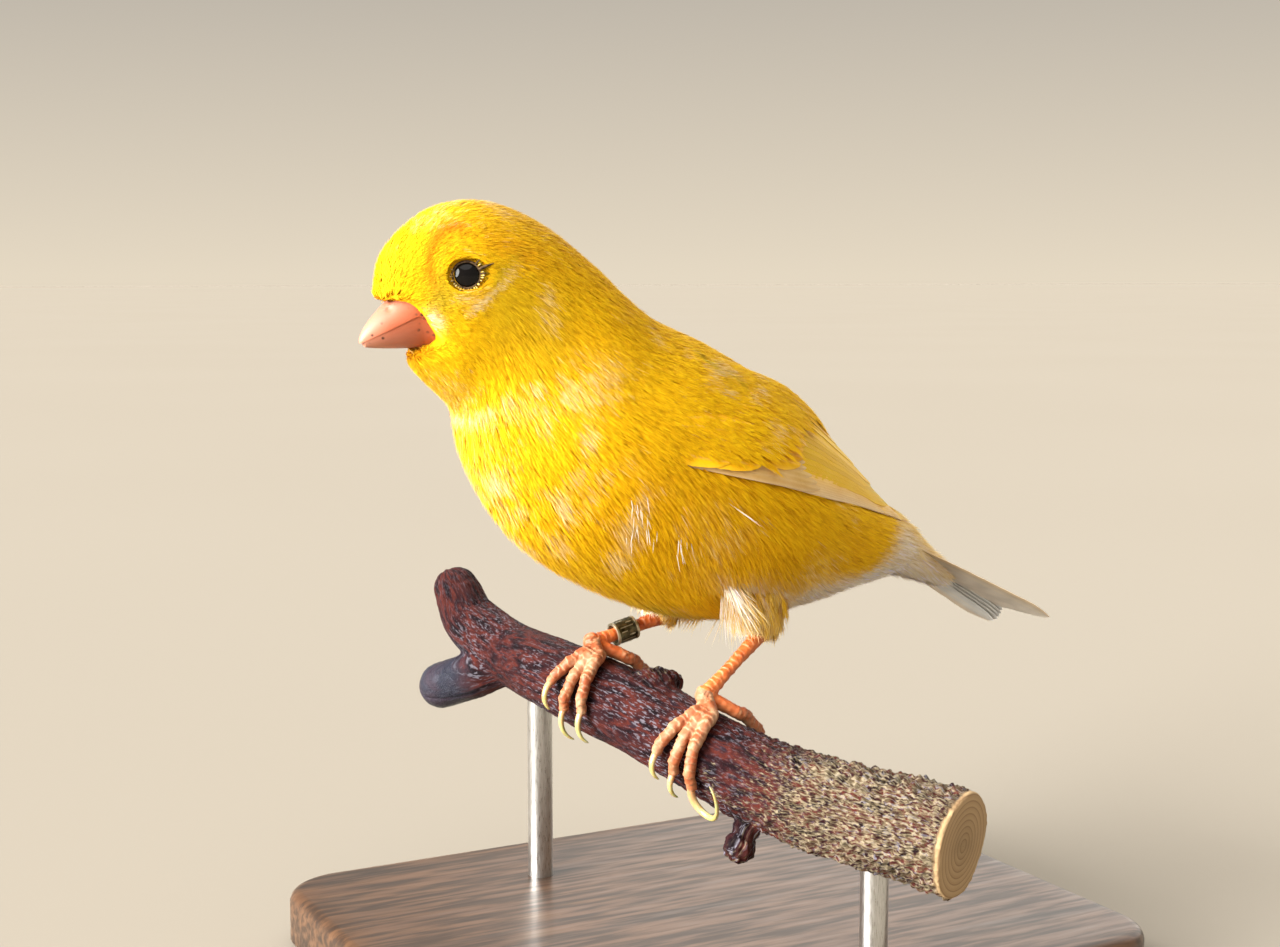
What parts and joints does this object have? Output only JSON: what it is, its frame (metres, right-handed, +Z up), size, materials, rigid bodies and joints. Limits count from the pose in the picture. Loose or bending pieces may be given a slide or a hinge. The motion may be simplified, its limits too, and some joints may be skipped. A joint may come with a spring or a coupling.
{
  "type": "canary",
  "caption": "Still model of a yellow canary that leans forward and grips a cut length of branch, held over a flat base by short rods.",
  "frame": {"origin": "centre of the underside of the stand's base", "axes": "+Z up; the bird faces -X; its left side faces -Y"},
  "size_m": [0.125, 0.1037, 0.1213],
  "materials": {
    "yellow_plumage": "soft contour feathers, matt lemon to golden yellow",
    "flight_feathers": "smooth pale yellow flight feathers with white and pinkish edges",
    "bill_horn": "semi-gloss pink horn",
    "eye": "wet near-black dome",
    "leg_skin": "fine scaled orange-pink skin",
    "claw_horn": "pale translucent horn",
    "ring_metal": "worn olive anodised band",
    "bark": "purple-brown bark with grey flecks, saw-cut end",
    "base_wood": "dark stained wood, satin",
    "rod_metal": "brushed steel rod"
  },
  "bodies": {
    "root": {"bill_lower": "bill_horn", "bill_upper": "bill_horn", "claw_left_1": "claw_horn", "claw_left_2": "claw_horn", "claw_left_3": "claw_horn", "claw_left_4": "claw_horn", "claw_right_1": "claw_horn", "claw_right_2": "claw_horn", "claw_right_3": "claw_horn", "claw_right_4": "claw_horn", "eye_left": "eye", "eye_right": "eye", "head": "yellow_plumage", "leg_left": "leg_skin", "leg_right": "leg_skin", "leg_ring": "ring_metal", "neck": "yellow_plumage", "perch_branch": "bark", "stand_base": "base_wood", "stand_rod_back": "rod_metal", "stand_rod_front": "rod_metal", "tail": "flight_feathers", "thigh_left": "yellow_plumage", "thigh_right": "yellow_plumage", "torso": "yellow_plumage", "wing_left": "flight_feathers", "wing_right": "flight_feathers"}
  },
  "joints": []
}
